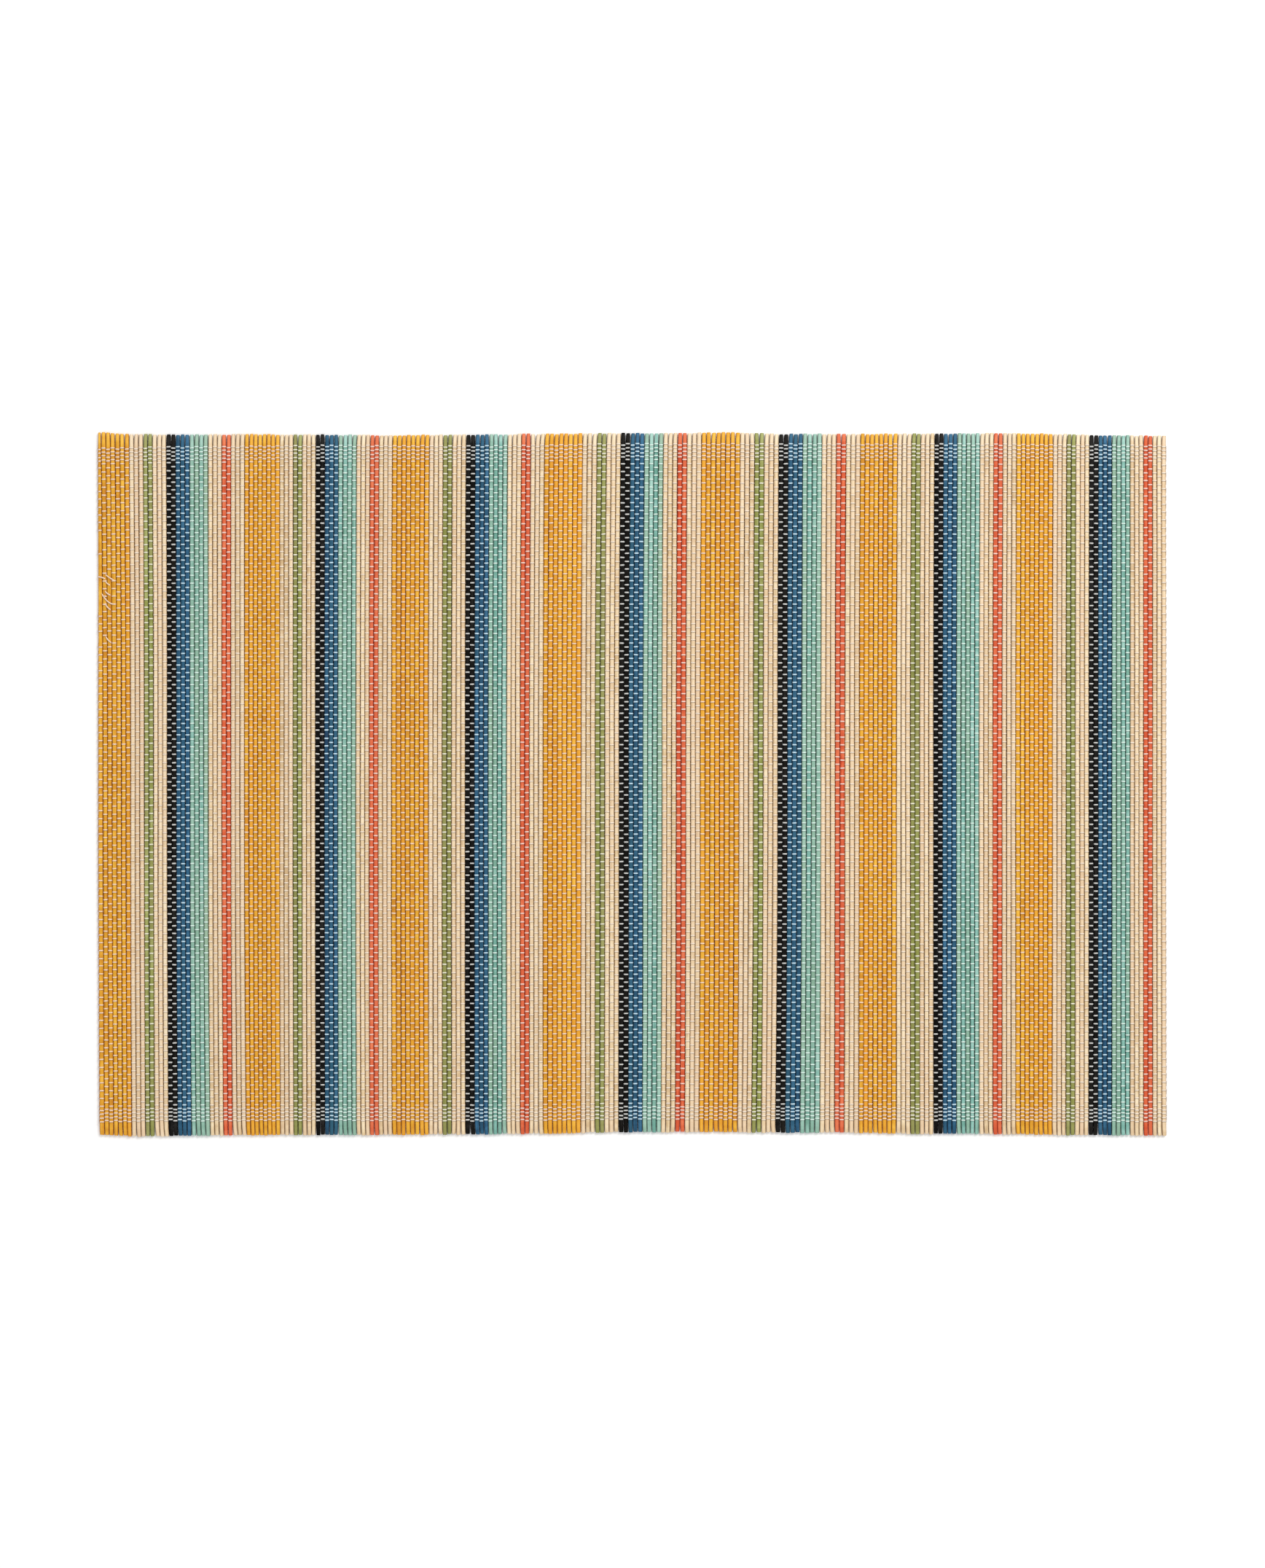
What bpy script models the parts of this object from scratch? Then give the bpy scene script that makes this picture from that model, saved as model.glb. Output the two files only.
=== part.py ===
"""Striped placemat of bamboo slats, lying flat.

Slats as thin as matchsticks lie side by side along Y, and woven threads bind them into one flat mat.
The mat is one solid: every slat is a ridge on both faces, the grooves between slats leave a thin web
where the threads hold them, and past the outermost threads each slat ends free, at its own length.
X runs along the mat's width, Y along the slats and Z up. The origin is the middle of the underside.
"""
from collections import namedtuple
import random

import bmesh
import bpy

MM = 0.001

# Driving sizes
MAT_THICKNESS = 2.0 * MM
SLAT_HALF_LENGTH = 151.5 * MM
BOUND_HALF_LENGTH = 145.7 * MM
SLAT_GAP = 0.36 * MM
GROOVE_DEPTH = 0.72 * MM
END_UNEVENNESS = 0.22 * MM
END_SEED = 7

# How the faces at the slats' ends are told from the others
SLAT_CORNERS = 4
ACROSS_THE_SLATS = 0.5

# One row for each repeat of the stripes, left to right. Widths are in millimetres.
Repeat = namedtuple("Repeat", "yellow_slats teal_slats width")
REPEATS = (
    Repeat(yellow_slats=7, teal_slats=4, width=63.3),
    Repeat(yellow_slats=8, teal_slats=4, width=63.7),
    Repeat(yellow_slats=8, teal_slats=4, width=65.5),
    Repeat(yellow_slats=8, teal_slats=4, width=68.1),
    Repeat(yellow_slats=8, teal_slats=4, width=68.7),
    Repeat(yellow_slats=8, teal_slats=5, width=67.7),
    Repeat(yellow_slats=8, teal_slats=4, width=65.0),
)

# One row for each place across the width, in millimetres. far and near lengthen the slats at their
# +Y and -Y ends, and far_lean and near_lean carry those ends towards +X.
Place = namedtuple("Place", "x far near far_lean near_lean")
PLACES = (
    Place(x=-231, far=0.8, near=0.2, far_lean=0.0, near_lean=0.1),
    Place(x=-212, far=-0.2, near=1.0, far_lean=-0.6, near_lean=0.3),
    Place(x=-184, far=-0.2, near=0.4, far_lean=-0.4, near_lean=0.4),
    Place(x=-150, far=-0.3, near=0.1, far_lean=0.1, near_lean=0.3),
    Place(x=-112, far=-0.5, near=0.0, far_lean=0.3, near_lean=0.4),
    Place(x=-65, far=-0.2, near=-0.2, far_lean=0.5, near_lean=0.1),
    Place(x=-42, far=0.1, near=-0.5, far_lean=0.7, near_lean=0.0),
    Place(x=-4, far=0.4, near=-0.9, far_lean=0.8, near_lean=-0.2),
    Place(x=21, far=0.4, near=-1.0, far_lean=0.4, near_lean=-0.5),
    Place(x=36, far=0.8, near=-0.9, far_lean=0.4, near_lean=-0.8),
    Place(x=65, far=0.0, near=-0.8, far_lean=0.5, near_lean=-1.1),
    Place(x=90, far=-0.1, near=-0.7, far_lean=0.6, near_lean=-0.4),
    Place(x=130, far=0.4, near=-0.2, far_lean=0.5, near_lean=0.1),
    Place(x=166, far=0.4, near=-0.1, far_lean=0.4, near_lean=0.0),
    Place(x=190, far=-0.1, near=0.1, far_lean=0.3, near_lean=-0.1),
    Place(x=210, far=-0.6, near=0.3, far_lean=0.0, near_lean=-0.1),
    Place(x=231, far=-0.7, near=0.2, far_lean=0.0, near_lean=0.1),
)

# Dye colours as seen, in sRGB
DYES = {
    "yellow": (0.90, 0.67, 0.20),
    "cream": (0.91, 0.82, 0.65),
    "green": (0.57, 0.64, 0.35),
    "black": (0.11, 0.11, 0.12),
    "blue": (0.18, 0.38, 0.54),
    "teal": (0.52, 0.74, 0.65),
    "red": (0.89, 0.36, 0.22),
}
SLAT_ROUGHNESS = 0.55


def clear_scene():
    """Remove every object of the open file."""
    for old in list(bpy.data.objects):
        bpy.data.objects.remove(old, do_unlink=True)


def linear(channel):
    """One sRGB channel as linear light."""
    if channel <= 0.04045:
        return channel / 12.92
    return ((channel + 0.055) / 1.055) ** 2.4


def dyed_bamboo(name, colour):
    """Material of slats dyed in one colour."""
    material = bpy.data.materials.new("bamboo_" + name)
    material.use_nodes = True
    shader = material.node_tree.nodes["Principled BSDF"]
    shader.inputs["Base Color"].default_value = [linear(channel) for channel in colour] + [1.0]
    shader.inputs["Roughness"].default_value = SLAT_ROUGHNESS
    shader.inputs["Metallic"].default_value = 0.0
    return material


def stripe_colours(repeat):
    """Colours of the slats in one repeat, left to right."""
    bands = (
        ("yellow", repeat.yellow_slats),
        ("cream", 3),
        ("green", 2),
        ("cream", 3),
        ("black", 2),
        ("blue", 3),
        ("teal", repeat.teal_slats),
        ("cream", 3),
        ("red", 2),
        ("cream", 3),
    )
    return [colour for colour, count in bands for _ in range(count)]


def lay_slats():
    """Slats from left to right, each with its colour and its two sides along X."""
    slats = []
    x = -sum(repeat.width for repeat in REPEATS) * MM / 2
    for repeat in REPEATS:
        colours = stripe_colours(repeat)
        pitch = repeat.width * MM / len(colours)
        for colour in colours:
            slats.append((colour, x + SLAT_GAP / 2, x + pitch - SLAT_GAP / 2))
            x += pitch
    return slats


def at_place(x, column):
    """Value of one column of PLACES at x, eased from row to row, in metres."""
    for left, right in zip(PLACES, PLACES[1:]):
        if x <= right.x * MM or right is PLACES[-1]:
            share = (x / MM - left.x) / (right.x - left.x)
            share = min(max(share, 0.0), 1.0)
            share = share * share * (3 - 2 * share)
            low = getattr(left, column)
            high = getattr(right, column)
            return (low + (high - low) * share) * MM


def cut_section(bm, slats):
    """Faces of the mat's section across the slats: one for each slat, and one for each web between."""
    y = -BOUND_HALF_LENGTH
    corners = []
    for _, left, right in slats:
        corners.append([
            bm.verts.new((left, y, 0)),
            bm.verts.new((right, y, 0)),
            bm.verts.new((right, y, MAT_THICKNESS)),
            bm.verts.new((left, y, MAT_THICKNESS)),
        ])
    for slat in corners:
        bm.faces.new(slat)
    for slat, after in zip(corners, corners[1:]):
        middle = (slat[1].co.x + after[0].co.x) / 2
        floor_below = bm.verts.new((middle, y, GROOVE_DEPTH))
        floor_above = bm.verts.new((middle, y, MAT_THICKNESS - GROOVE_DEPTH))
        bm.faces.new([slat[1], floor_below, after[0], after[3], floor_above, slat[2]])


def run_section(bm):
    """Extrude the section along the bound length of the slats."""
    grown = bmesh.ops.extrude_face_region(bm, geom=list(bm.faces), use_keep_orig=True)
    moved = [item for item in grown["geom"] if isinstance(item, bmesh.types.BMVert)]
    bmesh.ops.translate(bm, verts=moved, vec=(0, 2 * BOUND_HALF_LENGTH, 0))


def run_free_ends(bm):
    """Extrude each slat by itself past the outermost threads, at both ends."""
    free = SLAT_HALF_LENGTH - BOUND_HALF_LENGTH
    ends = [
        face for face in bm.faces
        if len(face.verts) == SLAT_CORNERS and abs(face.normal.y) > ACROSS_THE_SLATS
    ]
    grown = bmesh.ops.extrude_discrete_faces(bm, faces=ends)
    for face in grown["faces"]:
        outward = 1 if face.calc_center_median().y > 0 else -1
        bmesh.ops.translate(bm, verts=list(face.verts), vec=(0, outward * free, 0))


def slat_at(slats, x):
    """Number of the slat that is nearest to x."""
    return min(range(len(slats)), key=lambda number: abs(slats[number][1] + slats[number][2] - 2 * x))


def dye_slats(bm, slats, dye_numbers):
    """Give every face the colour of its slat."""
    for face in bm.faces:
        colour = slats[slat_at(slats, face.calc_center_median().x)][0]
        face.material_index = dye_numbers[colour]


def make_uneven(bm, slats):
    """Let the slats lean, and let each end at its own length."""
    rng = random.Random(END_SEED)
    trims = [
        {1: rng.uniform(-END_UNEVENNESS, END_UNEVENNESS), -1: rng.uniform(-END_UNEVENNESS, END_UNEVENNESS)}
        for _ in slats
    ]
    for vert in bm.verts:
        x = vert.co.x
        side = 1 if vert.co.y > 0 else -1
        end = "far" if side > 0 else "near"
        if abs(vert.co.y) > BOUND_HALF_LENGTH + MM:
            vert.co.y += side * (at_place(x, end) + trims[slat_at(slats, x)][side])
        vert.co.x += at_place(x, end + "_lean") * abs(vert.co.y) / SLAT_HALF_LENGTH


def centre(bm):
    """Move the mat so that the middle of its box is over the origin."""
    for axis in (0, 1):
        values = [vert.co[axis] for vert in bm.verts]
        shift = (min(values) + max(values)) / 2
        for vert in bm.verts:
            vert.co[axis] -= shift


def build_mat():
    """The mat as one closed mesh in its own object."""
    slats = lay_slats()
    mesh = bpy.data.meshes.new("mat")
    for name, colour in DYES.items():
        mesh.materials.append(dyed_bamboo(name, colour))
    dye_numbers = {name: number for number, name in enumerate(DYES)}

    bm = bmesh.new()
    cut_section(bm, slats)
    run_section(bm)
    bmesh.ops.recalc_face_normals(bm, faces=list(bm.faces))
    run_free_ends(bm)
    dye_slats(bm, slats, dye_numbers)
    make_uneven(bm, slats)
    centre(bm)
    bmesh.ops.recalc_face_normals(bm, faces=list(bm.faces))
    bm.to_mesh(mesh)
    bm.free()

    mat = bpy.data.objects.new("mat", mesh)
    bpy.context.scene.collection.objects.link(mat)
    return mat


clear_scene()
build_mat()
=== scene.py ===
"""Looks of the striped bamboo placemat.

The mat's one ridged solid is replaced by its slats, one piece for each dye, and by the threads that are
woven over one slat and under the next. Lengths are in millimetres, and become metres in make_piece. Floor,
lights and camera are in metres.
"""
from collections import namedtuple
import math
import random

import bpy
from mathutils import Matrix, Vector
import numpy as np


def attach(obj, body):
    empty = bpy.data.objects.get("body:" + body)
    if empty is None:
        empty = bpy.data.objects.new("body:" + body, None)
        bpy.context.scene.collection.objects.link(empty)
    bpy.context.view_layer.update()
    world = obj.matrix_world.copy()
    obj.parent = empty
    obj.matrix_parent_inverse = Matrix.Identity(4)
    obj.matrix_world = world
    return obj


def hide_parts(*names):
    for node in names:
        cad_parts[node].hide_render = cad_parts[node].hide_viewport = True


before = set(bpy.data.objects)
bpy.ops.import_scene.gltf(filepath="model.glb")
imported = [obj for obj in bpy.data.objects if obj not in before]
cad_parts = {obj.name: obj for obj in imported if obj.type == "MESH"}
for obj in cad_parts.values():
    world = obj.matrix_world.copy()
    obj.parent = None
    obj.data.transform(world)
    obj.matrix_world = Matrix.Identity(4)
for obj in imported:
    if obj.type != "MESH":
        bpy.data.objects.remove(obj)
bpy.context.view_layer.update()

MM = 0.001
BODY = "root"
NODE = "mat"

# Driving sizes. The solid has the same, with a wider gap between slats.
SLAT_HALF_LENGTH = 151.5
BOUND_HALF_LENGTH = 145.7
SLAT_GAP = 0.10
END_UNEVENNESS = 0.22
END_SEED = 7
MAT_MIDDLE_HEIGHT = 1.0

# Section and run of a slat
SLAT_HALF_THICKNESS = 0.70
SLAT_CORNERS = 12
SLAT_SQUARENESS = 3.0
SLAT_RUNS = 22
SLAT_ROLL = math.radians(5)
WIDTH_UNEVENNESS = 0.03
THICKNESS_UNEVENNESS = 0.05
END_ROUNDING = 0.30
SPLAY = 0.15
TOUCHING_GAP = 0.03
SLAT_SEED = 21
SHARP_ANGLE = math.radians(48)
# Where the painted groove shade begins on a slat's side and how far it takes to be full, as shares of half
# width
SIDE_SHADE_START = 0.75
SIDE_SHADE_RUN = 0.22

# How slim a slat is at its far and near ends: at the cut, just before it, and halfway to the threads
FAR_END_SIZES = (0.66, 0.85, 0.91)
NEAR_END_SIZES = (0.82, 0.93, 0.96)

# Sideways waves of a slat along its length: how many over the half length, and how wide
Wave = namedtuple("Wave", "turns reach")
SLAT_WAVES = (
    Wave(turns=0.8, reach=0.035),
    Wave(turns=2.1, reach=0.015),
)

# Threads. A thread lies over a slat, dives between two slats and passes below the next.
THREAD_HALF_WIDTH = 0.31
THREAD_RISE = 0.10
THREAD_DROP = 0.14
THREAD_SEED = 33
THREAD_PIECES = 5
SINGLE_THREADS = 166
FIRST_SINGLE = 139.5
LAST_SINGLE = -138.7
BORDER_PAIRS = 4
PAIR_GAP = 0.54
FAR_BORDER = 146.4
FAR_PAIR_PITCH = 1.70
NEAR_BORDER = -145.5
NEAR_PAIR_PITCH = 1.63
ROW_UNEVENNESS = 0.05
ROW_WAVE = 0.07
STITCH_UNEVENNESS = 0.04
STITCH_TILT = 0.03
THREAD_UNEVENNESS = 0.08
THREAD_CORNERS = 3

# Waves of a thread along its row: the range of their turns, and how much faster each one runs
ROW_TURNS = (0.01, 0.03)
ROW_PACES = (2, 6)

# Turn of a thread around an edge slat: how far the turn and the landing after it stand outward from the
# thread's last point on the slat, how far the landing is below the mat's middle, and its painted shade
TURN_REACH = 0.13
LANDING_REACH = 0.06
LANDING_DROP = 0.52
LANDING_SHADE = 0.3

# Rings of a thread at one slat: how far from the slat's middle, as a share of its half width, how far from
# the slat's face, outward from the mat's middle, and how much of the groove's painted shade it takes, from 0
# to 1
Ring = namedtuple("Ring", "share lift shade")
OVER_RINGS = (
    Ring(share=-0.97, lift=-0.24, shade=1.0),
    Ring(share=-0.66, lift=0.16, shade=0.0),
    Ring(share=0.66, lift=0.16, shade=0.0),
    Ring(share=0.97, lift=-0.24, shade=1.0),
)
UNDER_RINGS = (
    Ring(share=-0.85, lift=0.11, shade=0.3),
    Ring(share=0.85, lift=0.11, shade=0.3),
)

# How much a thread takes of the groove's dark colour, as painted shade, where it dives
THREAD_GROOVE_SHADE = 0.92

# One row for each repeat of the stripes, left to right
Repeat = namedtuple("Repeat", "yellow_slats teal_slats width")
REPEATS = (
    Repeat(yellow_slats=7, teal_slats=4, width=63.3),
    Repeat(yellow_slats=8, teal_slats=4, width=63.7),
    Repeat(yellow_slats=8, teal_slats=4, width=65.5),
    Repeat(yellow_slats=8, teal_slats=4, width=68.1),
    Repeat(yellow_slats=8, teal_slats=4, width=68.7),
    Repeat(yellow_slats=8, teal_slats=5, width=67.7),
    Repeat(yellow_slats=8, teal_slats=4, width=65.0),
)

# One row for each place across the width. far and near lengthen the slats at their +Y and -Y ends, and
# far_lean and near_lean carry those ends towards +X. aside carries the whole slat towards +X.
Place = namedtuple("Place", "x far near far_lean near_lean aside")
PLACES = (
    Place(x=-231, far=0.5, near=0.2, far_lean=-0.2, near_lean=0.5, aside=0.50),
    Place(x=-229, far=0.4, near=0.3, far_lean=-0.9, near_lean=0.7, aside=0.60),
    Place(x=-212, far=-0.5, near=0.8, far_lean=-0.6, near_lean=0.5, aside=0.63),
    Place(x=-184, far=-0.6, near=0.4, far_lean=-0.1, near_lean=0.8, aside=0.55),
    Place(x=-167, far=-0.4, near=0.2, far_lean=0.1, near_lean=0.8, aside=0.35),
    Place(x=-150, far=-0.5, near=0.1, far_lean=0.1, near_lean=0.3, aside=0.10),
    Place(x=-112, far=-0.8, near=0.2, far_lean=0.5, near_lean=0.3, aside=0.20),
    Place(x=-65, far=-0.6, near=-0.2, far_lean=0.5, near_lean=0.1, aside=0.30),
    Place(x=-42, far=-0.3, near=-0.4, far_lean=0.7, near_lean=0.0, aside=0.20),
    Place(x=-4, far=0.0, near=-1.1, far_lean=0.8, near_lean=-0.2, aside=0.05),
    Place(x=21, far=0.1, near=-1.1, far_lean=0.6, near_lean=-0.5, aside=0.00),
    Place(x=36, far=0.4, near=-1.2, far_lean=0.6, near_lean=-0.6, aside=0.05),
    Place(x=65, far=-0.3, near=-0.9, far_lean=0.5, near_lean=-1.0, aside=0.20),
    Place(x=90, far=-0.3, near=-0.9, far_lean=0.6, near_lean=-0.3, aside=0.05),
    Place(x=130, far=-0.1, near=-0.3, far_lean=0.5, near_lean=0.1, aside=0.25),
    Place(x=166, far=0.0, near=-0.2, far_lean=0.4, near_lean=0.0, aside=0.00),
    Place(x=190, far=-0.4, near=0.2, far_lean=0.3, near_lean=-0.1, aside=0.10),
    Place(x=210, far=-1.0, near=0.3, far_lean=0.0, near_lean=-0.1, aside=0.20),
    Place(x=231, far=-1.1, near=0.3, far_lean=0.0, near_lean=0.1, aside=-0.05),
)

# One row for each place across the width. The threads stand this far towards +Y at the far and near ends.
RowPlace = namedtuple("RowPlace", "x far near")
ROW_PLACES = (
    RowPlace(x=-231, far=-1.45, near=-0.45),
    RowPlace(x=-222, far=-1.30, near=-0.35),
    RowPlace(x=-205, far=-0.85, near=0.05),
    RowPlace(x=-192, far=-0.75, near=0.10),
    RowPlace(x=-129, far=-0.15, near=0.20),
    RowPlace(x=-64, far=-0.40, near=0.00),
    RowPlace(x=4, far=0.50, near=0.80),
    RowPlace(x=72, far=0.45, near=0.55),
    RowPlace(x=140, far=0.40, near=0.30),
    RowPlace(x=206, far=-0.10, near=-0.25),
    RowPlace(x=231, far=-0.10, near=-0.20),
)

# Loose ends that are darned into the first slats at the left edge. Each strand is a list of points, as
# x and y.
DARNED_STRANDS = (
    ((-230.6, 89.5), (-229.1, 89.2), (-227.2, 88.5)),
    ((-227.5, 90.6), (-225.6, 89.1), (-223.2, 87.7)),
    ((-227.6, 88.0), (-226.6, 86.6), (-225.2, 85.8)),
    ((-227.6, 83.5), (-226.6, 82.3), (-225.0, 81.4)),
    ((-229.0, 82.4), (-227.5, 79.7), (-224.8, 77.9), (-223.2, 77.7)),
    ((-227.6, 78.2), (-226.6, 76.5), (-225.0, 75.1)),
    ((-227.3, 63.9), (-226.3, 62.3), (-224.8, 60.9)),
)

# Rows whose thread stops short of the left edge: between two places along Y, at which slat it begins
ShortRows = namedtuple("ShortRows", "low high first_slat")
SHORT_ROWS = (
    ShortRows(low=91.0, high=98.0, first_slat=1),
    ShortRows(low=101.0, high=108.0, first_slat=1),
    ShortRows(low=74.5, high=91.0, first_slat=3),
    ShortRows(low=60.5, high=64.0, first_slat=3),
)
STRAND_STEPS = 5
STRAND_HEIGHT = 0.86
STRAND_END_HEIGHT = 0.35
STRAND_BLUNTNESS = 0.4

# Strips of the bake map, 0 to 1 along and across a strip: where a slat's sides begin and their size, the
# middle and reach of the oval for its end, and the same for a thread and the three corners of its end
SIDES_START = (0.015, 0.05)
SIDES_SIZE = (0.97, 0.90)
CAP_MIDDLE = (0.006, 0.5)
CAP_REACH = (0.005, 0.4)
THREAD_START = (0.002, 0.08)
THREAD_SIZE = (0.996, 0.84)
THREAD_END = ((0.0002, 0.5), (0.0015, 0.5), (0.0008, 0.6))

# Shades of each dye, in sRGB: from its deepest to its palest on the face of a slat, the other hue that some
# slats lean to, the painted shade of the grooves, which the flecks also take, the painted light that the dye
# bounces onto a white thread lying on it, and the slats' gloss
Dye = namedtuple("Dye", "deep middle pale other groove thread gloss")
DYES = {
    "yellow": Dye(
        deep=(0.76, 0.49, 0.07), middle=(0.86, 0.63, 0.14), pale=(0.93, 0.725, 0.26),
        other=(0.88, 0.595, 0.14), groove=(0.61, 0.31, 0.00),
        thread=(1.0, 0.88, 0.77), gloss=0.30,
    ),
    "cream": Dye(
        deep=(0.78, 0.66, 0.49), middle=(0.88, 0.785, 0.63), pale=(0.93, 0.86, 0.735),
        other=(0.88, 0.765, 0.64), groove=(0.58, 0.42, 0.20),
        thread=(1.0, 0.935, 0.86), gloss=0.30,
    ),
    "green": Dye(
        deep=(0.43, 0.46, 0.15), middle=(0.54, 0.56, 0.27), pale=(0.65, 0.67, 0.41),
        other=(0.56, 0.54, 0.33), groove=(0.28, 0.26, 0.05),
        thread=(0.95, 0.94, 0.85), gloss=0.30,
    ),
    "black": Dye(
        deep=(0.02, 0.02, 0.02), middle=(0.055, 0.052, 0.05), pale=(0.16, 0.155, 0.15),
        other=(0.10, 0.09, 0.075), groove=(0.01, 0.01, 0.01),
        thread=(0.84, 0.84, 0.83), gloss=0.05,
    ),
    "blue": Dye(
        deep=(0.04, 0.205, 0.325), middle=(0.095, 0.305, 0.43), pale=(0.22, 0.425, 0.565),
        other=(0.14, 0.33, 0.41), groove=(0.03, 0.10, 0.17),
        thread=(0.78, 0.90, 0.97), gloss=0.24,
    ),
    "teal": Dye(
        deep=(0.38, 0.59, 0.53), middle=(0.49, 0.69, 0.645), pale=(0.64, 0.795, 0.75),
        other=(0.58, 0.68, 0.57), groove=(0.12, 0.28, 0.23),
        thread=(0.88, 0.98, 0.945), gloss=0.30,
    ),
    "red": Dye(
        deep=(0.74, 0.25, 0.10), middle=(0.825, 0.35, 0.185), pale=(0.90, 0.49, 0.325),
        other=(0.81, 0.375, 0.23), groove=(0.66, 0.17, 0.05),
        thread=(1.0, 0.85, 0.80), gloss=0.30,
    ),
}

# Noise on the bamboo: bumps for each millimetre across and along the slats, detail, and how far it moves
# the tone, the other hue's share or the flecks' strength
Noise = namedtuple("Noise", "across along detail reach")
GRAIN = Noise(across=5.0, along=0.10, detail=3.0, reach=0.70)
STREAKS = Noise(across=1.6, along=0.03, detail=2.0, reach=0.55)
CLOUDS = Noise(across=0.15, along=0.28, detail=2.0, reach=0.80)
DRIFT = Noise(across=0.05, along=0.02, detail=2.0, reach=0.80)
FLECKS = Noise(across=6.0, along=0.6, detail=2.0, reach=0.35)
FLECK_LEVELS = (0.64, 0.74)
SEED_SPREAD = 400.0
TONE_START = 0.25
TONE_RANGE = 0.5
HUE_RANGE = 0.6
# How much of the groove's dark colour a slat's sides take, as painted shade between the slats
SIDE_SHADE = 0.95

# Paler far tips: where they begin and are full along Y, and how much paler
PALE_TIP_START = 144.0
PALE_TIP_FULL = 149.0
PALE_TIP_TONE = 0.5

BAMBOO_ROUGHNESS = 0.55
BAMBOO_ROUGHNESS_SWAY = 0.12
GRAIN_RELIEF = 0.04
GRAIN_STRENGTH = 0.6

COTTON_ROUGHNESS = 0.85
COTTON_GLOSS = 0.2
FUZZ_SCALE = 2.2
FUZZ_COLOURS = ((0.95, 0.95, 0.94), (0.985, 0.985, 0.98), (1.0, 1.0, 1.0))
TWIST_SLANT = (9.0, 14.0, 4.0)
# Painted shade along the twist of the thread: its darkest and its lightest
TWIST_SHADE_COLOURS = ((0.94, 0.935, 0.93), (1.0, 1.0, 1.0))
TWIST_RELIEF = 0.05
TWIST_STRENGTH = 0.5

# Floor, lights and camera, in metres and watts
FLOOR_REACH = 12.0
FLOOR_WHITE = 0.97
FLOOR_ROUGHNESS = 0.95
FLOOR_GLOSS = 0.1
SKY_STRENGTH = 0.66
Light = namedtuple("Light", "name place size power colour")
LIGHTS = (
    Light(name="main", place=(0.8, 1.0, 1.5), size=1.1, power=24.0, colour=(1.0, 0.99, 0.97)),
    Light(name="side", place=(-1.0, -1.4, 2.2), size=1.6, power=11.0, colour=(0.97, 0.98, 1.0)),
)
CAMERA_LENS = 100.0
CAMERA_SENSOR = 36.0
CAMERA_ASIDE = 0.0002
FRAME_HEIGHT = 0.6779

Slat = namedtuple("Slat", "number dye middle half_width half_thickness roll tone hue seed")


def stripe_dyes(repeat):
    """Dyes of the slats in one repeat, left to right."""
    bands = (
        ("yellow", repeat.yellow_slats),
        ("cream", 3),
        ("green", 2),
        ("cream", 3),
        ("black", 2),
        ("blue", 3),
        ("teal", repeat.teal_slats),
        ("cream", 3),
        ("red", 2),
        ("cream", 3),
    )
    return [dye for dye, count in bands for _ in range(count)]


def lay_slats():
    """Slats from left to right, each as uneven as split bamboo is."""
    rng = random.Random(SLAT_SEED)
    slats = []
    x = -sum(repeat.width for repeat in REPEATS) / 2
    for repeat in REPEATS:
        dyes = stripe_dyes(repeat)
        pitch = repeat.width / len(dyes)
        for dye in dyes:
            slats.append(Slat(
                number=len(slats),
                dye=dye,
                middle=x + pitch / 2,
                half_width=(pitch - SLAT_GAP) / 2 * (1 + rng.uniform(-WIDTH_UNEVENNESS, WIDTH_UNEVENNESS)),
                half_thickness=SLAT_HALF_THICKNESS * (1 - rng.uniform(0, THICKNESS_UNEVENNESS)),
                roll=rng.uniform(-SLAT_ROLL, SLAT_ROLL),
                tone=rng.random(),
                hue=rng.random(),
                seed=rng.random(),
            ))
            x += pitch
    return slats


def at_place(places, column, x):
    """One column of a table of places at x, eased from row to row."""
    rows = np.array([place.x for place in places], dtype=float)
    values = np.array([getattr(place, column) for place in places])
    left = np.clip(np.searchsorted(rows, x) - 1, 0, len(rows) - 2)
    share = np.clip((x - rows[left]) / (rows[left + 1] - rows[left]), 0, 1)
    share = share * share * (3 - 2 * share)
    return values[left] + (values[left + 1] - values[left]) * share


def by_end(places, far, near, x, share):
    """The far column of a table of places at the far ends of the slats, and the near one at the others."""
    return np.where(share > 0, at_place(places, far, x), at_place(places, near, x))


def lean(x, share):
    """How far a point of the laid mat stands towards +X. share runs along the slats, from -1 to 1."""
    return at_place(PLACES, "aside", x) + by_end(PLACES, "far_lean", "near_lean", x, share) * share ** 2


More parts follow.
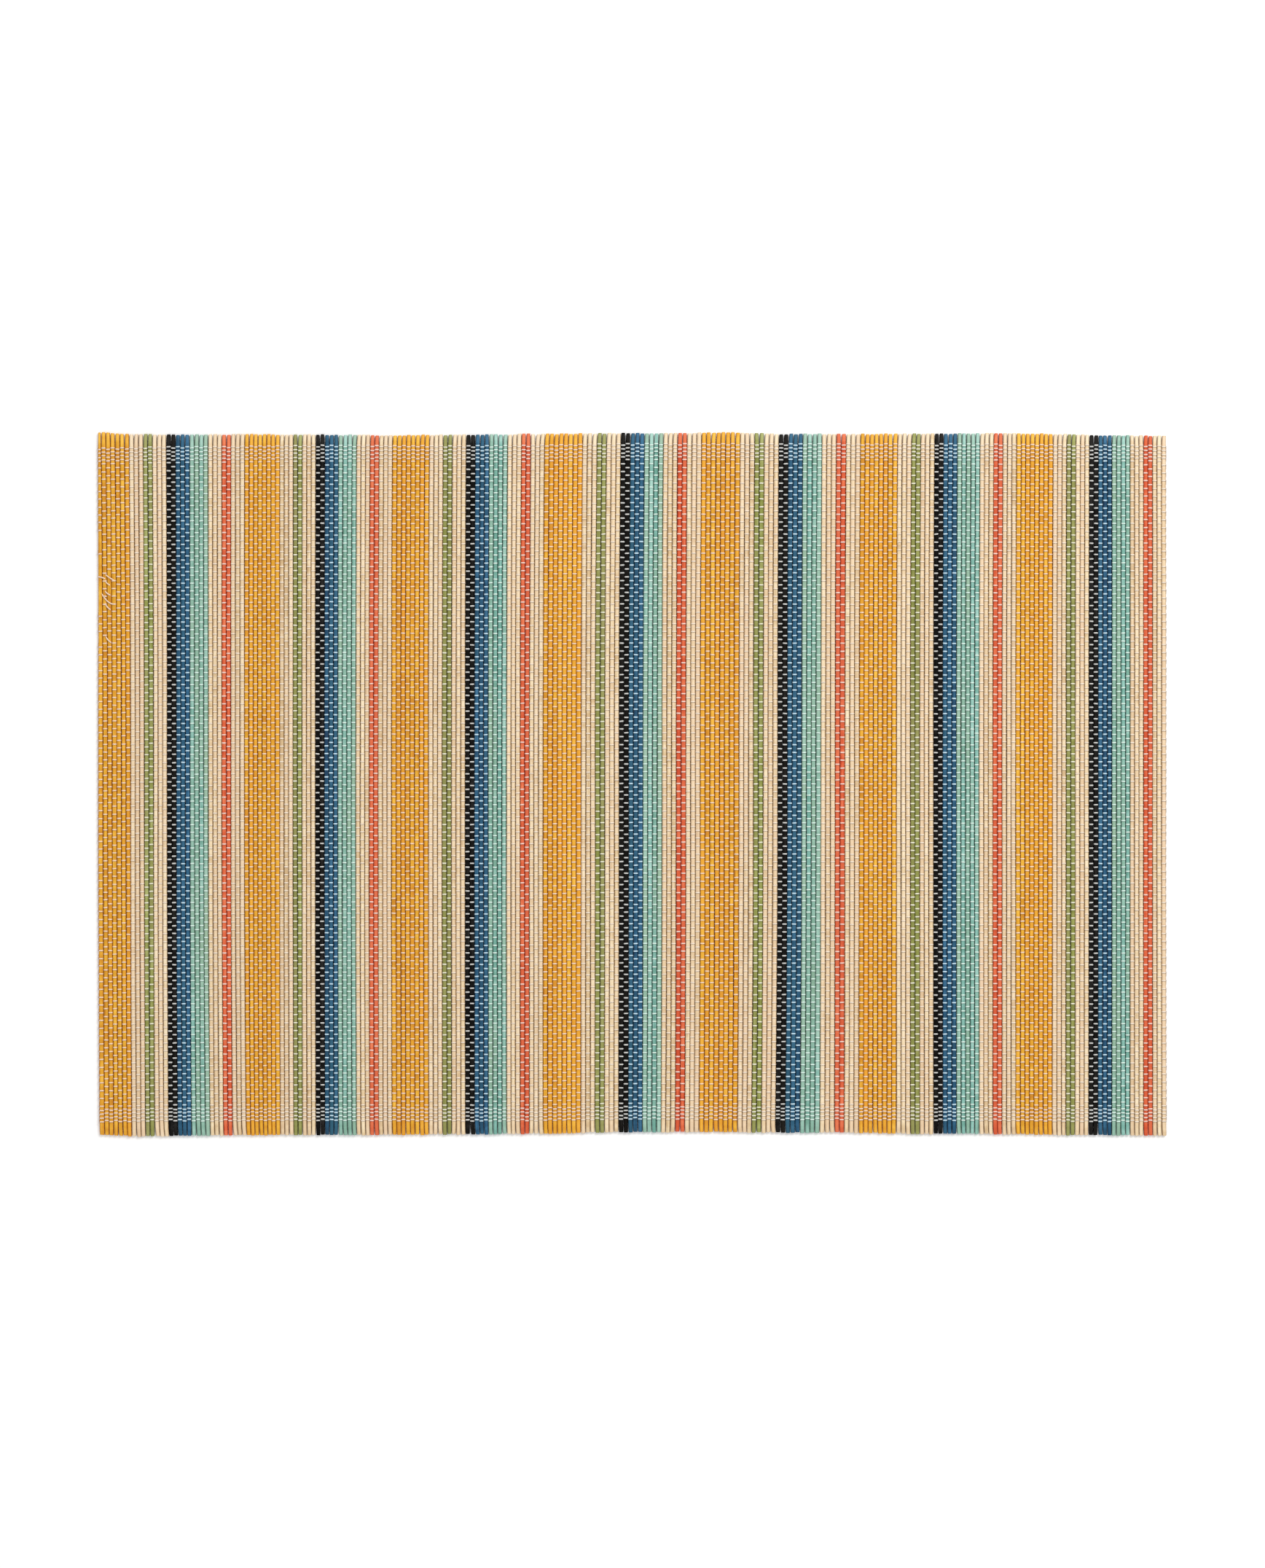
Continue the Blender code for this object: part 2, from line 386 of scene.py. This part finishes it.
class Weave:
    """Slats as arrays, with the waves, splay and trim that both slats and threads follow."""

    def __init__(self, slats):
        rng = np.random.default_rng(SLAT_SEED)
        count = len(slats)
        self.slats = slats
        self.middle = np.array([slat.middle for slat in slats])
        self.half_width = np.array([slat.half_width for slat in slats])
        self.half_thickness = np.array([slat.half_thickness for slat in slats])
        self.phases = rng.uniform(0, 2 * math.pi, (len(SLAT_WAVES), count))
        self.splays = {side: self.clear_splays(rng.normal(0, SPLAY, count)) for side in (1, -1)}
        ends = random.Random(END_SEED)
        trims = [
            (ends.uniform(-END_UNEVENNESS, END_UNEVENNESS), ends.uniform(-END_UNEVENNESS, END_UNEVENNESS))
            for _ in slats
        ]
        self.trims = {1: np.array(trims)[:, 0], -1: np.array(trims)[:, 1]}
        self.shift = self.centring()

    def clear_splays(self, splays):
        """Splays of the free ends, held back where a slat would enter its left neighbour."""
        for number in range(1, len(splays)):
            gap = self.middle[number] - self.middle[number - 1]
            gap -= self.half_width[number] + self.half_width[number - 1]
            splays[number] = max(splays[number], splays[number - 1] - gap + TOUCHING_GAP)
        return splays

    def centring(self):
        """What puts the middle of the mat's box over the origin."""
        ends_x, ends_y = [], []
        for side in (1, -1):
            edges = self.middle + np.sign(self.middle) * self.half_width
            share = np.full(len(edges), float(side))
            length = by_end(PLACES, "far", "near", edges, share) + self.trims[side]
            ends_x.append(edges + lean(edges, share))
            ends_y.append(side * (SLAT_HALF_LENGTH + length))
        return -(np.min(ends_x) + np.max(ends_x)) / 2, -(np.min(ends_y) + np.max(ends_y)) / 2

    def wave(self, numbers, share):
        """How far slats stand to the side at these shares of their length."""
        total = 0.0
        for wave, phases in zip(SLAT_WAVES, self.phases):
            total = total + wave.reach * np.sin(2 * math.pi * wave.turns * share + phases[numbers])
        return total

    def free(self, share):
        """0 where a slat is bound, rising to 1 at its tips."""
        bound = BOUND_HALF_LENGTH / SLAT_HALF_LENGTH
        return np.clip((np.abs(share) - bound) / (1 - bound), 0, 1)

    def point(self, numbers, across, share):
        """X and Y of points of slats: across is the distance from the slat's middle."""
        flat_x = self.middle[numbers] + across
        free = self.free(share)
        splay = np.where(share > 0, self.splays[1][numbers], self.splays[-1][numbers])
        trim = np.where(share > 0, self.trims[1][numbers], self.trims[-1][numbers])
        length = by_end(PLACES, "far", "near", flat_x, share) + trim
        x = flat_x + lean(flat_x, share) + self.wave(numbers, share) + splay * free ** 2
        y = share * SLAT_HALF_LENGTH + np.sign(share) * length * free
        return x + self.shift[0], y + self.shift[1]


def make_piece(name, points, face_groups, uv_groups, attributes):
    """One object on the mat's body from points in millimetres and groups of faces with equal corners."""
    mesh = bpy.data.meshes.new(name)
    corners = np.concatenate([group.ravel() for group in face_groups])
    sizes = np.concatenate([np.full(len(group), group.shape[1]) for group in face_groups])
    starts = np.concatenate([[0], np.cumsum(sizes)[:-1]])
    mesh.vertices.add(len(points))
    mesh.vertices.foreach_set("co", (points * MM).ravel())
    mesh.loops.add(len(corners))
    mesh.loops.foreach_set("vertex_index", corners.astype(np.int32))
    mesh.polygons.add(len(sizes))
    mesh.polygons.foreach_set("loop_start", starts.astype(np.int32))
    mesh.update(calc_edges=True)
    layer = mesh.uv_layers.new(name="OFBake")
    uvs = np.concatenate([group.reshape(-1, 2) for group in uv_groups])
    layer.data.foreach_set("uv", uvs.ravel())
    for label, values in attributes.items():
        kind, field = ("FLOAT", "value") if values.ndim == 1 else ("FLOAT_COLOR", "color")
        attribute = mesh.attributes.new(label, kind, "POINT")
        attribute.data.foreach_set(field, values.ravel())
    mesh.shade_smooth()
    piece = bpy.data.objects.new(name, mesh)
    bpy.context.scene.collection.objects.link(piece)
    return piece


def tube_faces(rings, corners):
    """Side faces of one tube, as ring and corner numbers of their four corners."""
    ring = np.arange(rings - 1)[:, None]
    corner = np.arange(corners)[None, :]
    ring, corner = np.broadcast_arrays(ring, corner)
    ring_of = np.stack([ring, ring, ring + 1, ring + 1], axis=-1).reshape(-1, 4)
    corner_of = np.stack([corner, corner + 1, corner + 1, corner], axis=-1).reshape(-1, 4)
    return ring_of, corner_of


def slat_section():
    """Corners of a slat's section, as shares of its half width and half thickness, and how far each is towards
    its side, which sets its painted groove shade.
    """
    angles = 2 * math.pi * (np.arange(SLAT_CORNERS) + 0.5) / SLAT_CORNERS
    power = 2 / SLAT_SQUARENESS
    across = np.sign(np.cos(angles)) * np.abs(np.cos(angles)) ** power
    height = np.sign(np.sin(angles)) * np.abs(np.sin(angles)) ** power
    # Painted shade: how much of the groove's dark colour each corner takes, rising towards the slat's side
    side = np.clip((np.abs(across) - SIDE_SHADE_START) / SIDE_SHADE_RUN, 0, 1)
    return across, height, side


def slat_shares():
    """Places of a slat's rings along it, and how much each ring is drawn in."""
    bound = BOUND_HALF_LENGTH / SLAT_HALF_LENGTH
    rounding = 1 - END_ROUNDING / SLAT_HALF_LENGTH
    middle_of_free = (bound + rounding) / 2
    runs = np.linspace(-bound, bound, SLAT_RUNS + 1)
    shares = np.concatenate([[-1, -rounding, -middle_of_free], runs, [middle_of_free, rounding, 1]])
    sizes = np.ones(len(shares))
    sizes[:3] = NEAR_END_SIZES
    sizes[-3:] = FAR_END_SIZES[::-1]
    return shares, sizes


def slat_points(weave, slat):
    """Points of one slat, ring by ring from the near end to the far one."""
    across, height, _ = slat_section()
    shares, sizes = slat_shares()
    across = sizes[:, None] * across[None, :] * slat.half_width
    height = sizes[:, None] * height[None, :] * slat.half_thickness
    rolled_across = across * math.cos(slat.roll) - height * math.sin(slat.roll)
    rolled_height = across * math.sin(slat.roll) + height * math.cos(slat.roll)
    share = np.broadcast_to(shares[:, None], across.shape)
    numbers = np.full(across.shape, slat.number)
    x, y = weave.point(numbers, across, share)
    points = np.stack([x + rolled_across - across, y, MAT_MIDDLE_HEIGHT + rolled_height], axis=-1)
    return points.reshape(-1, 3)


def slat_faces():
    """Faces of one slat and the place of each corner in the slat's strip of the bake map, 0 to 1."""
    shares, _ = slat_shares()
    rings = len(shares)
    ring, corner = tube_faces(rings, SLAT_CORNERS)
    sides = ring * SLAT_CORNERS + corner % SLAT_CORNERS
    along = (shares + 1) / 2
    side_uvs = np.stack([along[ring], corner / SLAT_CORNERS], axis=-1) * SIDES_SIZE + SIDES_START

    half = SLAT_CORNERS // 2
    steps = np.arange(half - 1)
    cap = np.stack([steps, steps + 1, SLAT_CORNERS - 2 - steps, SLAT_CORNERS - 1 - steps], axis=-1)
    last = (rings - 1) * SLAT_CORNERS
    caps = np.concatenate([cap, last + cap[:, ::-1]])
    angles = 2 * math.pi * (np.arange(SLAT_CORNERS) + 0.5) / SLAT_CORNERS
    spot = np.stack([np.cos(angles), np.sin(angles)], axis=-1) * CAP_REACH + CAP_MIDDLE
    cap_uvs = np.concatenate([spot[cap], (spot * [-1, 1] + [1, 0])[cap[:, ::-1]]])
    return sides, side_uvs, caps, cap_uvs


def make_slats(weave, dye):
    """All slats of one dye as one piece."""
    _, _, side = slat_section()
    shares, _ = slat_shares()
    sides, side_uvs, caps, cap_uvs = slat_faces()
    chosen = [slat for slat in weave.slats if slat.dye == dye]
    count = len(shares) * SLAT_CORNERS
    points = np.concatenate([slat_points(weave, slat) for slat in chosen])
    strips = np.arange(len(chosen))[:, None, None]
    scale = np.array([1, 1 / len(chosen)])

    def in_strips(uvs):
        lifted = uvs[None] + np.stack([0 * strips, strips], axis=-1)
        return lifted * scale

    piece = make_piece(
        "slats_" + dye,
        points,
        [(sides[None] + strips * count).reshape(-1, 4), (caps[None] + strips * count).reshape(-1, 4)],
        [in_strips(side_uvs), in_strips(cap_uvs)],
        {
            "tone": np.repeat([slat.tone for slat in chosen], count),
            "hue": np.repeat([slat.hue for slat in chosen], count),
            "seed": np.repeat([slat.seed for slat in chosen], count),
            # Painted groove shade of each point
            "side": np.tile(side, len(shares) * len(chosen)),
        },
    )
    piece.data.set_sharp_from_angle(angle=SHARP_ANGLE)
    return piece


def thread_rows():
    """Y of every thread on the flat mat, from the far border to the near one."""
    far = [
        FAR_BORDER - pair * FAR_PAIR_PITCH - second * PAIR_GAP
        for pair in range(BORDER_PAIRS) for second in (0, 1)
    ]
    near = [
        NEAR_BORDER + pair * NEAR_PAIR_PITCH + second * PAIR_GAP
        for pair in range(BORDER_PAIRS) for second in (0, 1)
    ]
    singles = np.linspace(FIRST_SINGLE, LAST_SINGLE, SINGLE_THREADS)
    return np.concatenate([far, singles, near[::-1]])


def first_slat_of(row):
    """Number of the slat at which the thread at this Y begins."""
    for short in SHORT_ROWS:
        if short.low < row < short.high:
            return short.first_slat
    return 0


def thread_route(weave, rows, thread, rng):
    """Middle line of one thread from left to right, with the slat and the painted shade of each of its points.
    """
    over_odd = thread % 2 == 0
    first = 0 if over_odd else first_slat_of(rows[thread])
    numbers, shares, lifts, faces, shades = [], [], [], [], []
    for number in range(first, len(weave.slats)):
        over = (number % 2 == 1) == over_odd
        for ring in OVER_RINGS if over else UNDER_RINGS:
            numbers.append(number)
            shares.append(ring.share)
            lifts.append(ring.lift)
            faces.append(1 if over else -1)
            shades.append(ring.shade)
    numbers = np.array(numbers)
    shares = np.array(shares)
    along = np.full(len(numbers), rows[thread] / SLAT_HALF_LENGTH)
    x, y = weave.point(numbers, shares * weave.half_width[numbers], along)
    slats = len(weave.slats)
    jitter = rng.normal(0, STITCH_UNEVENNESS, slats)
    tilt = rng.normal(0, STITCH_TILT, slats)
    phase = rng.uniform(0, 2 * math.pi, 2)
    turns = rng.uniform(*ROW_TURNS, 2)
    far_share = (1 + rows[thread] / SLAT_HALF_LENGTH) / 2
    y = y + at_place(ROW_PLACES, "far", x) * far_share + at_place(ROW_PLACES, "near", x) * (1 - far_share)
    y = y + rng.normal(0, ROW_UNEVENNESS)
    waves = np.sin(x[:, None] * turns * ROW_PACES + phase)
    y = y + ROW_WAVE * waves.mean(axis=1)
    y = y + jitter[numbers] - tilt[numbers] * shares
    z = MAT_MIDDLE_HEIGHT + np.array(faces) * (weave.half_thickness[numbers] + np.array(lifts))
    route = np.stack([x, y, z], axis=-1)
    shades = np.array(shades)

    # A thread over the edge slats turns around them and goes on below as its neighbour.
    for side, partner in ((-1, thread - 1), (1, thread + 1)):
        if over_odd or not 0 <= partner < len(rows) or (side < 0 and first > 0):
            continue
        edge = route[0] if side < 0 else route[-1]
        step = rows[partner] - rows[thread]
        turn = [
            [edge[0] + side * TURN_REACH, edge[1] + step / 2, MAT_MIDDLE_HEIGHT],
            [edge[0] + side * LANDING_REACH, edge[1] + step, MAT_MIDDLE_HEIGHT - LANDING_DROP],
        ]
        if side < 0:
            route = np.concatenate([turn[::-1], route])
            numbers = np.concatenate([numbers[[0, 0]], numbers])
            shades = np.concatenate([[LANDING_SHADE, 0.0], shades])
        else:
            route = np.concatenate([route, turn])
            numbers = np.concatenate([numbers, numbers[[-1, -1]]])
            shades = np.concatenate([shades, [0.0, LANDING_SHADE]])
    return route, numbers, shades


def thread_points(route, rng):
    """Points around a thread's middle line: two edges above and a ridge below, for each ring."""
    run = np.gradient(route, axis=0)
    run /= np.linalg.norm(run, axis=1)[:, None]
    up = np.stack([-run[:, 2], 0 * run[:, 0], run[:, 0]], axis=-1)
    up /= np.linalg.norm(up, axis=1)[:, None]
    across = np.cross(run, up)
    size = 1 + rng.uniform(-THREAD_UNEVENNESS, THREAD_UNEVENNESS, len(route))[:, None]
    ridge = route - up * THREAD_DROP * size
    left = route + up * THREAD_RISE * size - across * THREAD_HALF_WIDTH * size
    right = route + up * THREAD_RISE * size + across * THREAD_HALF_WIDTH * size
    return np.stack([ridge, left, right], axis=1).reshape(-1, 3)


def linear(colour):
    """An sRGB colour as linear light with full alpha."""
    values = [c / 12.92 if c <= 0.04045 else ((c + 0.055) / 1.055) ** 2.4 for c in colour]
    return tuple(values) + (1.0,)


def thread_bounce_and_shade(weave, numbers, shades):
    """What each point of a thread keeps of its own colour: painted light bounced from its slat's dye, and
    painted shade where it dives into a groove.
    """
    # Painted light: the colour each dye bounces onto the thin white thread lying on it, dimmer over dark slats
    faces = np.array([linear(DYES[slat.dye].thread) for slat in weave.slats])[numbers]
    groove_shades = np.array([linear(DYES[slat.dye].groove) for slat in weave.slats])[numbers]
    # Painted shade: the groove's dark colour where the thread dives between slats
    depths = 1 - THREAD_GROOVE_SHADE * (1 - groove_shades)
    tints = faces + (depths - faces) * shades[:, None]
    tints[:, 3] = 1
    return tints


def make_threads(name, weave, routes):
    """Threads of one zone as one piece. Each route has its points, and their slats and painted shades."""
    rng = np.random.default_rng(THREAD_SEED + len(routes))
    points, quads, quad_uvs, ends, end_uvs, tints = [], [], [], [], [], []
    start = 0
    for strip, (route, numbers, shades) in enumerate(routes):
        rings = len(route)
        length = np.concatenate([[0], np.cumsum(np.linalg.norm(np.diff(route, axis=0), axis=1))])
        along = length / length[-1]
        ring, corner = tube_faces(rings, THREAD_CORNERS)
        points.append(thread_points(route, rng))
        quads.append(start + ring * THREAD_CORNERS + corner % THREAD_CORNERS)
        sides = np.stack([along[ring], corner / THREAD_CORNERS], axis=-1) * THREAD_SIZE + THREAD_START
        quad_uvs.append((sides + [0, strip]) / [1, len(routes)])
        last = (rings - 1) * THREAD_CORNERS
        ends.append(start + np.array([[0, 2, 1], [0, 1, 2]]) + np.array([[0], [last]]))
        spot = (np.array(THREAD_END) + [0, strip]) / [1, len(routes)]
        end_uvs.append(np.stack([spot, spot * [-1, 1] + [1, 0]]))
        tints.append(np.repeat(thread_bounce_and_shade(weave, numbers, shades), THREAD_CORNERS, axis=0))
        start += rings * THREAD_CORNERS
    return make_piece(
        name,
        np.concatenate(points),
        [np.concatenate(quads), np.concatenate(ends)],
        [np.concatenate(quad_uvs), np.concatenate(end_uvs)],
        {"painted_bounce_and_shade": np.concatenate(tints)},
    )


def weave_threads(weave):
    """All threads, as one piece for each zone along the slats."""
    rng = np.random.default_rng(THREAD_SEED)
    rows = thread_rows()
    routes = [thread_route(weave, rows, thread, rng) for thread in range(len(rows))]
    zones = np.array_split(np.arange(len(rows)), THREAD_PIECES)
    return [
        make_threads("threads_" + str(number + 1), weave, [routes[thread] for thread in zone])
        for number, zone in enumerate(zones)
    ]


def darn_ends(weave):
    """The loose ends at the left edge as one piece, curved over the slats with both ends let in."""
    routes = []
    for strand in DARNED_STRANDS:
        knots = np.array(strand)
        places = np.arange(len(knots))
        steps = np.linspace(0, len(knots) - 1, (len(knots) - 1) * STRAND_STEPS + 1)
        bend = np.polyfit(places, knots, 2)
        line = np.array([np.polyval(bend[:, axis], steps) for axis in (0, 1)]).T
        rise = np.sin(math.pi * steps / steps[-1]) ** STRAND_BLUNTNESS
        height = STRAND_END_HEIGHT + (STRAND_HEIGHT - STRAND_END_HEIGHT) * rise
        route = np.column_stack([line + weave.shift, MAT_MIDDLE_HEIGHT + height])
        numbers = np.abs(line[:, :1] - weave.middle[None, :]).argmin(axis=1)
        routes.append((route, numbers, 0 * numbers))
    return make_threads("darned_ends", weave, routes)


class Finish:
    """A material in the making, with short ways to add its nodes."""

    def __init__(self, name, roughness, specular):
        self.material = bpy.data.materials.new(name)
        self.material.use_nodes = True
        self.tree = self.material.node_tree
        self.shader = self.tree.nodes["Principled BSDF"]
        self.shader.inputs["Roughness"].default_value = roughness
        self.shader.inputs["Specular IOR Level"].default_value = specular

    def feed(self, socket, value):
        """Link an output to a socket, or set the socket's own value."""
        if isinstance(value, bpy.types.NodeSocket):
            self.tree.links.new(value, socket)
        else:
            socket.default_value = value

    def add(self, kind, values, output=0, **settings):
        """One node with its inputs by name or number. Returns one of its outputs."""
        node = self.tree.nodes.new("ShaderNode" + kind)
        for key, value in settings.items():
            setattr(node, key, value)
        for key, value in values.items():
            self.feed(node.inputs[key], value)
        return node.outputs[output]

    def math(self, operation, first, second=0.0, third=0.0):
        """One step of arithmetic."""
        return self.add("Math", {0: first, 1: second, 2: third}, operation=operation)

    def attribute(self, name, output="Fac"):
        """A value that the mesh carries at its points."""
        return self.add("Attribute", {}, output, attribute_name=name)

    def place(self):
        """The point in the mat's own frame, in millimetres."""
        spot = self.add("TexCoord", {}, "Object")
        return self.add("VectorMath", {0: spot, "Scale": 1 / MM}, operation="SCALE")

    def noise(self, vector, detail=2.0):
        """Soft noise around 0.5, one bump for each unit of the vector."""
        return self.add("TexNoise", {"Vector": vector, "Scale": 1.0, "Detail": detail})

    def stretch(self, place, across, along, seed):
        """The place with its own scale across and along the slats, moved by a slat's seed."""
        far = self.math("MULTIPLY", seed, SEED_SPREAD)
        offset = self.add("CombineXYZ", {0: far, 1: far, 2: far})
        scale = (across, along, across)
        return self.add("VectorMath", {0: place, 1: scale, 2: offset}, operation="MULTIPLY_ADD")

    def sway(self, start, noise, reach):
        """start with noise on top, which reaches this far both ways."""
        centred = self.math("SUBTRACT", noise, 0.5)
        return self.math("MULTIPLY_ADD", centred, 2 * reach, start)

    def ramp(self, factor, colours):
        """Colours in equal steps."""
        result = self.add("ValToRGB", {0: factor})
        stops = result.node.color_ramp.elements
        while len(stops) < len(colours):
            stops.new(0.5)
        for number, colour in enumerate(colours):
            stops[number].position = number / (len(colours) - 1)
            stops[number].color = linear(colour)
        return result

    def blend(self, factor, first, second, mode="MIX"):
        """Two colours mixed."""
        node = self.tree.nodes.new("ShaderNodeMix")
        node.data_type = "RGBA"
        node.blend_type = mode
        colour_inputs = [socket for socket in node.inputs if socket.type == "RGBA"]
        self.feed(node.inputs[0], factor)
        self.feed(colour_inputs[0], first)
        self.feed(colour_inputs[1], second)
        return [socket for socket in node.outputs if socket.type == "RGBA"][0]

    def bump(self, height, depth, strength):
        """Fine relief, with its full depth in metres."""
        values = {"Height": height, "Distance": depth, "Strength": strength}
        self.feed(self.shader.inputs["Normal"], self.add("Bump", values))


def bamboo(dye):
    """Dyed split bamboo: its own shade on each slat, cloudy dye, fine grain, and painted groove shade on the
    sides of the slats.
    """
    shades = DYES[dye]
    finish = Finish("bamboo_" + dye, BAMBOO_ROUGHNESS, shades.gloss)
    seed = finish.attribute("seed")
    place = finish.place()
    grain, streaks, clouds, drift, flecks = [
        finish.noise(finish.stretch(place, kind.across, kind.along, seed), kind.detail)
        for kind in (GRAIN, STREAKS, CLOUDS, DRIFT, FLECKS)
    ]

    tone = finish.math("MULTIPLY_ADD", finish.attribute("tone"), TONE_RANGE, TONE_START)
    tone = finish.sway(tone, clouds, CLOUDS.reach)
    tone = finish.sway(tone, streaks, STREAKS.reach)
    tone = finish.sway(tone, grain, GRAIN.reach)
    along = finish.add("SeparateXYZ", {0: place}, "Y")
    # Paler towards the far tips
    paler_tips = finish.add("MapRange", {0: along, 1: PALE_TIP_START, 2: PALE_TIP_FULL, 3: 0.0, 4: PALE_TIP_TONE})
    tone = finish.math("ADD", tone, paler_tips)
    colour = finish.ramp(tone, [shades.deep, shades.middle, shades.pale])

    hue = finish.math("MULTIPLY", finish.attribute("hue"), HUE_RANGE)
    hue = finish.sway(hue, drift, DRIFT.reach)
    hue = finish.add("Clamp", {0: hue})
    colour = finish.blend(hue, colour, linear(shades.other))

    low, high = FLECK_LEVELS
    fleck = finish.add("MapRange", {0: flecks, 1: low, 2: high, 3: 0.0, 4: FLECKS.reach})
    colour = finish.blend(fleck, colour, linear(shades.groove))
    # Painted shade: the slat's sides take the groove's dark colour, where shade falls between slats
    side = finish.math("MULTIPLY", finish.attribute("side"), SIDE_SHADE)
    colour = finish.blend(side, colour, linear(shades.groove))
    finish.feed(finish.shader.inputs["Base Color"], colour)

    roughness = finish.sway(BAMBOO_ROUGHNESS, grain, BAMBOO_ROUGHNESS_SWAY)
    finish.feed(finish.shader.inputs["Roughness"], roughness)
    finish.bump(grain, GRAIN_RELIEF * MM, GRAIN_STRENGTH)
    return finish.material


def cotton():
    """Off-white cotton thread, with painted light bounced from the slat below, painted shade where it dives
    into the grooves, and its twist as fine lines of painted shade and relief.
    """
    finish = Finish("binding_thread", COTTON_ROUGHNESS, COTTON_GLOSS)
    place = finish.place()
    fuzz = finish.noise(finish.stretch(place, FUZZ_SCALE, FUZZ_SCALE, 0.0))
    colour = finish.ramp(fuzz, FUZZ_COLOURS)
    # Painted light bounced from the slats, and painted shade where the thread dives
    colour = finish.blend(1.0, colour, finish.attribute("painted_bounce_and_shade", "Color"), "MULTIPLY")
    slant = finish.add("VectorMath", {0: place, 1: TWIST_SLANT}, "Value", operation="DOT_PRODUCT")
    twist = finish.math("SINE", slant)
    twist = finish.math("MULTIPLY_ADD", twist, 0.5, 0.5)
    # Painted shade along the grooves of the twist, besides the relief below
    shade = finish.ramp(twist, TWIST_SHADE_COLOURS)
    finish.feed(finish.shader.inputs["Base Color"], finish.blend(1.0, colour, shade, "MULTIPLY"))
    finish.bump(twist, TWIST_RELIEF * MM, TWIST_STRENGTH)
    return finish.material


def paper_floor():
    """Plain near-white floor."""
    finish = Finish("floor", FLOOR_ROUGHNESS, FLOOR_GLOSS)
    finish.shader.inputs["Base Color"].default_value = [FLOOR_WHITE] * 3 + [1.0]
    return finish.material


def lay_floor():
    """A wide floor under the mat, which isn't part of it."""
    mesh = bpy.data.meshes.new("floor")
    corners = [(x * FLOOR_REACH, y * FLOOR_REACH, 0) for x, y in ((-1, -1), (1, -1), (1, 1), (-1, 1))]
    mesh.from_pydata(corners, [], [(0, 1, 2, 3)])
    mesh.materials.append(paper_floor())
    floor = bpy.data.objects.new("floor", mesh)
    bpy.context.scene.collection.objects.link(floor)


def add_light(light):
    """A soft square light that faces the mat."""
    data = bpy.data.lights.new(light.name, "AREA")
    data.size = light.size
    data.energy = light.power
    data.color = light.colour
    lamp = bpy.data.objects.new(light.name, data)
    lamp.location = light.place
    lamp.rotation_euler = Vector(light.place).to_track_quat("Z", "Y").to_euler()
    bpy.context.scene.collection.objects.link(lamp)


def light_studio():
    """Even daylight, a soft main light beyond the far right corner, and a weaker one across from it."""
    world = bpy.data.worlds.new("daylight")
    world.use_nodes = True
    sky = world.node_tree.nodes["Background"]
    sky.inputs["Color"].default_value = (1.0, 1.0, 1.0, 1.0)
    sky.inputs["Strength"].default_value = SKY_STRENGTH
    bpy.context.scene.world = world
    for light in LIGHTS:
        add_light(light)
    bpy.context.scene.view_settings.view_transform = "Standard"


def place_camera():
    """Straight above the mat, as far as the picture's frame asks for."""
    data = bpy.data.cameras.new("camera")
    data.lens = CAMERA_LENS
    data.sensor_width = CAMERA_SENSOR
    camera = bpy.data.objects.new("camera", data)
    camera.location = (CAMERA_ASIDE, CAMERA_ASIDE, FRAME_HEIGHT * CAMERA_LENS / CAMERA_SENSOR)
    bpy.context.scene.collection.objects.link(camera)
    bpy.context.scene.camera = camera


def dress_mat():
    """Every piece of the mat, with its finish, its body and the node it stands for."""
    weave = Weave(lay_slats())
    slats = {dye: make_slats(weave, dye) for dye in DYES}
    threads = weave_threads(weave)
    threads.append(darn_ends(weave))
    thread_finish = cotton()
    for dye, piece in slats.items():
        piece.data.materials.append(bamboo(dye))
    for piece in threads:
        piece.data.materials.append(thread_finish)
    for piece in list(slats.values()) + threads:
        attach(piece, BODY)
        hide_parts(NODE)
    return slats, threads


place_camera()
light_studio()
lay_floor()
slats, threads = dress_mat()
